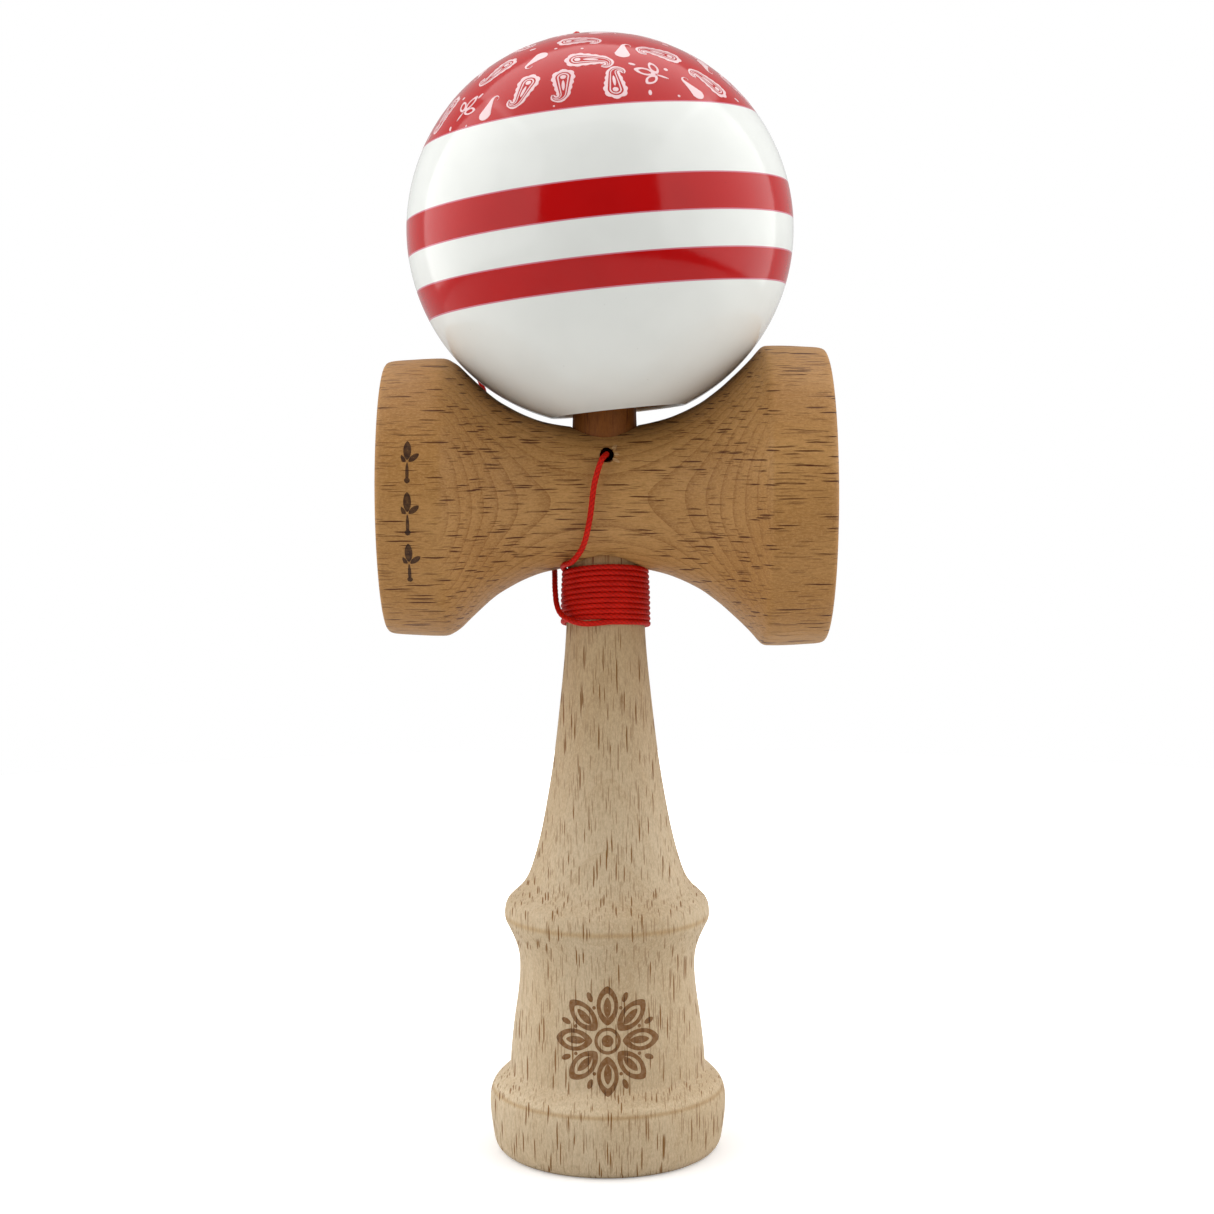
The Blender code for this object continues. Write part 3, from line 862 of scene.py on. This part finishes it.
def make_handle():
    wood = beech("beech_of_the_handle", **HANDLE_WOOD)
    handle = turned("handle", HANDLE_LINE, segments=192)
    hole = bar((STRING_HOLE_X, -12, STRING_HOLE_Z), (STRING_HOLE_X, 6, STRING_HOLE_Z),
               (HANDLE_HOLE_R, HANDLE_HOLE_R))
    pocket = bar((STRING_HOLE_X, 1.8, STRING_HOLE_Z), (STRING_HOLE_X, 9, STRING_HOLE_Z),
                 (KNOT_POCKET_R, KNOT_POCKET_R))
    handle.data.materials.append(wood)
    cut_away(handle, (hole, pocket))
    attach(handle, BODY)
    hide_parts("ken_handle")

    marks = Marks(on_handle(20.5), 0.02)
    rosette(marks)
    burned = beech("burned_mark_on_handle", burnt=HANDLE_BURN, **HANDLE_WOOD)
    mark = marks.piece("burned_rosette", burned)
    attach(mark, BODY)


# ---- cross piece ---------------------------------------------------------------------------
SMALL_END, BIG_END = -33.5, 33.8
SMALL_CUP_R = 21.2
BORE_TAPER = (SEAT_R - SPIKE_R) / (SPIKE_Z - SEAT_Z)


def cross_profile():
    """From the middle of the small cup over its rim, along the outside, and into the big cup."""
    line = [(r, SMALL_END + d) for r, d in dish(17.8, 6.0)] + [(18.6, SMALL_END), (19.4, SMALL_END)]
    runs = (
        [(20.1, -33.5), (20.65, -33.2), (20.9, -32.6), (21.2, -29.0), (21.35, -25.6), (21.33, -24.6)],
        [(21.33, -24.6), (21.2, -24.0), (20.9, -23.4), (20.2, -22.35), (18.7, -20.8),
         (17.2, -19.2), (15.85, -17.7), (14.8, -16.3), (13.85, -14.7), (13.0, -13.1), (12.3, -11.5),
         (11.7, -9.8), (11.2, -7.6), (10.8, -4.8), (WAIST_R, -1.2), (WAIST_R, 1.2), (10.95, 4.8),
         (11.5, 7.6), (12.1, 9.8), (12.8, 11.6), (13.6, 13.3), (14.55, 15.0), (15.55, 16.4),
         (16.8, 18.0), (18.15, 19.5), (19.65, 21.1), (21.3, 22.7), (22.3, 23.55), (22.75, 24.0)],
        [(22.75, 24.0), (23.0, 24.5), (23.05, 25.2), (23.05, 27.5), (22.9, 30.5), (22.7, 32.9),
         (22.45, 33.5), (21.9, 33.8), (20.8, 33.8)],
    )
    for run in runs:
        line += [(p[0], p[2]) for p in curve_through([(r, 0, x) for r, x in run], 0.55)[1:]]
    return line + [(r, BIG_END - d) for r, d in reversed(dish(19.6, 7.4))]


CROSS_LINE = cross_profile()


def on_small_cup(angle):
    """Places on the small cup's band at that angle above the front: x to the right, y round it."""
    middle_x = -28.6

    def put(x, y, rise):
        a = math.radians(angle) + y / SMALL_CUP_R
        return on_cross(middle_x + x, a, rise)
    return put


def on_cross(x, angle, rise):
    """The place on the cross piece's outside at x, at that angle above the front."""
    margin = 0.1
    outside = [p for p in CROSS_LINE
               if p[0] > WAIST_R - margin and SMALL_END + margin < p[1] < BIG_END - margin]
    r = float(np.interp(x, [p[1] for p in outside], [p[0] for p in outside])) + rise
    return Vector((x, -r * math.cos(angle), CROSS_Z + r * math.sin(angle)))


def make_cross_piece():
    wood = beech("beech_of_the_cross_piece", **CROSS_WOOD)
    cross = turned("cross_piece", CROSS_LINE, axis="X", segments=224, centre=(0, 0, CROSS_Z))
    low, high = 84.0, 132.0
    bore_r = SEAT_R + 0.3       # at the seat, with a little room round the handle
    seat = bar((0, 0, low), (0, 0, high),
               (bore_r + (SEAT_Z - low) * BORE_TAPER, bore_r - (high - SEAT_Z) * BORE_TAPER), 96)
    hole = bar((STRING_HOLE_X, -3, STRING_HOLE_Z), (STRING_HOLE_X, -13, STRING_HOLE_Z),
               (1.1, 1.1, 1.1, 1.1, 1.15, 1.25, 1.4, 1.6), 40, 0.35)
    cross.data.materials.append(wood)
    cut_away(cross, (seat, hole))
    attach(cross, BODY)
    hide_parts("sarado_cross_piece")

    marks = Marks(None, 0.02)
    for angle in (15.5, -5.0, -25.5):
        marks.put = on_small_cup(angle)
        marks.solid(leaf(2.9, 1.15, y=0.4, count=30))
        for side in (-52, 52):
            marks.solid(moved(leaf(1.9, 0.85, y=0.25), turn=side))
        marks.solid(leaf(3.2, 0.5, y=-3.1))
        marks.solid(oval(0.42, 0.42, 16, y=-2.6))
    burned = beech("burned_marks_on_cup", burnt=CROSS_BURN, **CROSS_WOOD)
    mark = marks.piece("burned_sprigs", burned)
    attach(mark, BODY)


def make_splinters():
    """Pale chips torn up at the right and below the string hole, where the drill came out."""
    marks = Marks(None, 0.12)
    chips = ((0.75, 0.85, -58, 0.95), (1.05, 0.1, -100, 0.8), (0.85, -0.6, -118, 1.25),
             (1.1, 0.6, -20, 0.7))
    for x, y, turn, length in chips:
        def put(across, up, rise, x=x, y=y):
            angle = math.asin((STRING_HOLE_Z + y + up - CROSS_Z) / WAIST_R)
            return on_cross(STRING_HOLE_X + x + across, angle, rise)
        marks.put = put
        marks.solid(moved(leaf(length, 0.42, count=16), turn=turn))
    bare = beech("torn_fibres", "X", (0.56, 0.35, 0.16), (0.48, 0.28, 0.12), (0.25, 0.12, 0.05),
                 ((0.3, 0.15, 0.06), 0.3), 2.4, 0.8)
    splinters = marks.piece("splinters_at_string_hole", bare)
    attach(splinters, BODY)


# ---- bead and its knot ---------------------------------------------------------------------
def make_bead_and_knot():
    """The bead under the string hole and the knot that holds it; both are on the rising string."""
    bead_at = BALL_CENTRE + BALL_TIP @ Vector((0, 0, BEAD_Z))
    outside = curve_through([(2.0, 0, -2.5), (2.65, 0, -1.8), (3.0, 0, 0.0), (2.65, 0, 1.8),
                             (2.0, 0, 2.5)], 0.25)
    line = [(0.95, -2.5)] + [(p[0], p[2]) for p in outside] + [(0.95, 2.5)]
    bead = turned("wooden_bead", line, segments=64, ring=True)
    bead.data.transform(Matrix.Translation(bead_at * MM) @ BALL_TIP.to_4x4())
    bead.data.materials.append(beech("bead_beech", "Z", (0.55, 0.33, 0.16), (0.43, 0.24, 0.10),
                                     (0.16, 0.06, 0.02), ((0.28, 0.12, 0.04), 0.3), 1.2, 0.4))
    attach(bead, STRING_BODY)
    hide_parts("string_bead")

    knot_at = BALL_CENTRE + BALL_TIP @ Vector((0, 0, BALL_KNOT_Z))
    ball_knot = trefoil("knot_under_bead", knot_at, 0.30, 0.42)
    finish_knot(ball_knot, STRING_BODY, "string_knot_in_ball")


# ---- floor and light -----------------------------------------------------------------------
def make_floor():
    """A round pale floor, white towards its rim; it gives back less light than it shows."""
    look = Look("pale_floor", 0.7, Specular_IOR_Level=0.1)
    seen = look.node("ShaderNodeLightPath").outputs["Is Camera Ray"]
    paper = look.mix(look.noise((40.0, 40.0, 40.0), 2.0), (0.92, 0.92, 0.92), (0.94, 0.94, 0.94))
    look.colour(look.mix(seen, (0.70, 0.70, 0.69), paper))
    far = look.node("ShaderNodeVectorMath", {"operation": "LENGTH"})
    look.put(far.inputs[0], look.place)
    glow = look.ramp(far.outputs["Value"], 0.02, 0.16, 0.22, 1.0)
    look.put(look.shader.inputs["Emission Color"], (1.0, 1.0, 1.0))
    look.put(look.shader.inputs["Emission Strength"], look.math("MULTIPLY", glow, seen))
    floor_r = 420.0
    rim = oval(floor_r, floor_r, 96)
    floor = mesh_from("pale_floor", [(x, y, 0.0) for x, y in rim], [tuple(range(len(rim)))])
    floor.data.materials.append(look.material)


def softbox(name, place, aim, size, power, mirrored=True):
    """A lamp the size of a softbox, in metres and watts; gloss shows it only when mirrored."""
    data = bpy.data.lights.new(name, "AREA")
    data.shape = "RECTANGLE"
    data.size, data.size_y = size
    data.energy = power
    light = bpy.data.objects.new(name, data)
    bpy.context.scene.collection.objects.link(light)
    light.location = place
    light.rotation_euler = (Vector(aim) - Vector(place)).to_track_quat("-Z", "Y").to_euler()
    light.visible_camera = False
    light.visible_glossy = mirrored


def make_light():
    """Boxes at both sides and above, a weak fill in front, and a world that is brighter behind."""
    softbox("left_box", (-0.5, -0.195, 0.40), (0.0, -0.195, 0.40), (1.04, 0.80), 4.15)
    softbox("right_box", (0.5, -0.195, 0.40), (0.0, -0.195, 0.40), (1.04, 0.80), 3.95)
    softbox("top_box", (0.0, 0.05, 0.80), (0.0, 0.05, 0.1), (1.1, 0.9), 4.4)
    softbox("front_fill", (0.0, -0.7, 0.25), (0.0, 0.0, 0.09), (0.6, 0.5), 0.42, mirrored=False)
    world = bpy.data.worlds.new("pale_studio")
    world.use_nodes = True
    tree = world.node_tree
    background = tree.nodes["Background"]
    path = tree.nodes.new("ShaderNodeLightPath")
    place = tree.nodes.new("ShaderNodeTexCoord")
    parts = tree.nodes.new("ShaderNodeSeparateXYZ")
    front = tree.nodes.new("ShaderNodeMapRange")
    for key, number in (("From Min", -0.4), ("From Max", 0.3), ("To Min", 0.07), ("To Max", 0.55)):
        front.inputs[key].default_value = number
    seen = tree.nodes.new("ShaderNodeMix")
    tree.links.new(place.outputs["Generated"], parts.inputs[0])
    tree.links.new(parts.outputs["Y"], front.inputs["Value"])
    tree.links.new(path.outputs["Is Camera Ray"], seen.inputs[0])
    tree.links.new(front.outputs[0], seen.inputs[2])
    seen.inputs[3].default_value = 1.0
    tree.links.new(seen.outputs[0], background.inputs["Strength"])
    background.inputs["Color"].default_value = (1.0, 1.0, 1.0, 1.0)
    bpy.context.scene.world = world
    bpy.context.scene.view_settings.view_transform = "Standard"


# ---- the whole -----------------------------------------------------------------------------
riser_tube, riser_centre = make_string()
make_bead_and_knot()
make_ball()
make_handle()
make_cross_piece()
make_splinters()
make_floor()
make_light()
